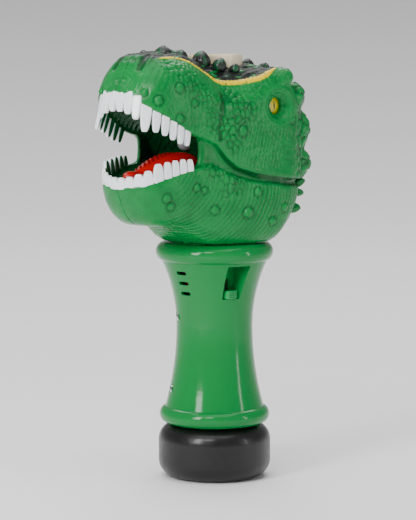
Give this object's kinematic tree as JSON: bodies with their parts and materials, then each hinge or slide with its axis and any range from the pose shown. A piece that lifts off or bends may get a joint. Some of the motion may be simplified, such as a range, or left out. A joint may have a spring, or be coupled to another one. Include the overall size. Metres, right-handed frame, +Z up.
{
  "type": "bubble wand",
  "caption": "Hand-held bubble wand: an open-jawed dinosaur head on a waisted handle, with a fan and roller pump that blow bubbles from its crown, and a screw-on liquid bottle as its foot.",
  "frame": {"origin": "centre of the bottle's flat underside, which the wand stands on", "axes": "+Z up the handle, the creature looks along -Y, its left side and the thumb knob are at +X"},
  "size_m": [0.0858, 0.1468, 0.275],
  "materials": {
    "green_plastic": "glossy moulded green, head dry-brushed",
    "knob_plastic": "glossy lighter green",
    "black_plastic": "satin black",
    "eye_plastic": "glossy yellow with a painted slit",
    "red_plastic": "glossy red",
    "cream_plastic": "glossy cream",
    "white_plastic": "satin natural white",
    "grey_plastic": "satin dark grey",
    "clear_plastic": "clear",
    "silicone": "milky soft tube",
    "rubber": "matt black",
    "steel": "bright plated",
    "washer_plastic": "satin natural",
    "spring_metal": "nickel plated",
    "cell_wrap": "printed wrap",
    "board": "solder resist",
    "wire_cover": "thin cable cover"
  },
  "bodies": {
    "housing": {"handle_left_shell": "green_plastic", "handle_right_shell": "green_plastic", "head_left_shell": "green_plastic", "head_right_shell": "green_plastic", "left_eye": "eye_plastic", "right_eye": "eye_plastic", "tongue": "red_plastic", "mouth_led": "clear_plastic", "bubble_nozzle": "cream_plastic", "bubble_ring": "cream_plastic", "drip_tray": "white_plastic", "fan_duct": "white_plastic", "motor_can": "steel", "motor_end_cap": "white_plastic", "gearbox_frame": "white_plastic", "idler_axle": "steel", "pump_cover": "white_plastic", "pump_case": "white_plastic", "pump_axle": "steel", "pump_loop": "silicone", "feed_tube": "silicone", "delivery_tube": "silicone", "return_tube": "silicone", "battery_tray": "grey_plastic", "battery_cells": "cell_wrap", "battery_contacts": "spring_metal", "slide_switch": "grey_plastic", "circuit_board": "board", "led_wires": "wire_cover", "motor_wires": "wire_cover", "battery_wires": "wire_cover", "bottle_socket": "white_plastic", "handle_screws": "steel", "head_screws": "steel"},
    "switch_knob": {"switch_knob": "knob_plastic"},
    "fan_rotor": {"motor_shaft": "steel", "motor_pinion": "white_plastic", "fan_impeller": "white_plastic"},
    "idler_gear": {"idler_gear": "white_plastic"},
    "pump_rotor": {"pump_rotor": "white_plastic"},
    "battery_door": {"battery_door": "green_plastic"},
    "door_screw_washer": {"door_screw_washer": "washer_plastic"},
    "door_screw": {"door_screw": "steel"},
    "bottle_seal": {"bottle_seal": "rubber"},
    "bottle": {"bottle": "black_plastic"}
  },
  "joints": [
    {"name": "knob_slide", "type": "slide", "parent": "housing", "child": "switch_knob", "axis": [0, 0, 1], "range_m": [0, 0.0055]},
    {"name": "fan_spin", "type": "hinge", "parent": "housing", "child": "fan_rotor", "pos_m": [0, 0, 0.17], "axis": [0, 0, 1], "continuous": true},
    {"name": "idler_spin", "type": "hinge", "parent": "housing", "child": "idler_gear", "pos_m": [-0.0115, 0, 0.147], "axis": [0, 0, 1], "continuous": true},
    {"name": "pump_spin", "type": "hinge", "parent": "housing", "child": "pump_rotor", "pos_m": [0, 0, 0.137], "axis": [0, 0, 1], "continuous": true},
    {"name": "door_slide", "type": "slide", "parent": "housing", "child": "battery_door", "axis": [-1, 0, 0], "range_m": [0, 0.02]},
    {"name": "door_screw_lift", "type": "slide", "parent": "battery_door", "child": "door_screw_washer", "axis": [-1, 0, 0], "range_m": [0, 0.0012]},
    {"name": "door_screw_turn", "type": "hinge", "parent": "door_screw_washer", "child": "door_screw", "pos_m": [-0.026, 0, 0.1228], "axis": [-1, 0, 0], "range_deg": [0, 720]},
    {"name": "bottle_travel", "type": "slide", "parent": "housing", "child": "bottle_seal", "axis": [0, 0, -1], "range_m": [0, 0.012]},
    {"name": "bottle_turn", "type": "hinge", "parent": "bottle_seal", "child": "bottle", "pos_m": [0, 0, 0], "axis": [0, 0, -1], "range_deg": [0, 1079]}
  ],
  "couplings": [
    {"joint": "idler_spin", "follows": "fan_spin", "ratio": -0.27778},
    {"joint": "pump_spin", "follows": "fan_spin", "ratio": 0.07716},
    {"joint": "door_screw_turn", "follows": "door_screw_lift", "rad_per_m": 10472},
    {"joint": "bottle_travel", "follows": "bottle_turn", "m_per_rad": 0.00063662}
  ]
}
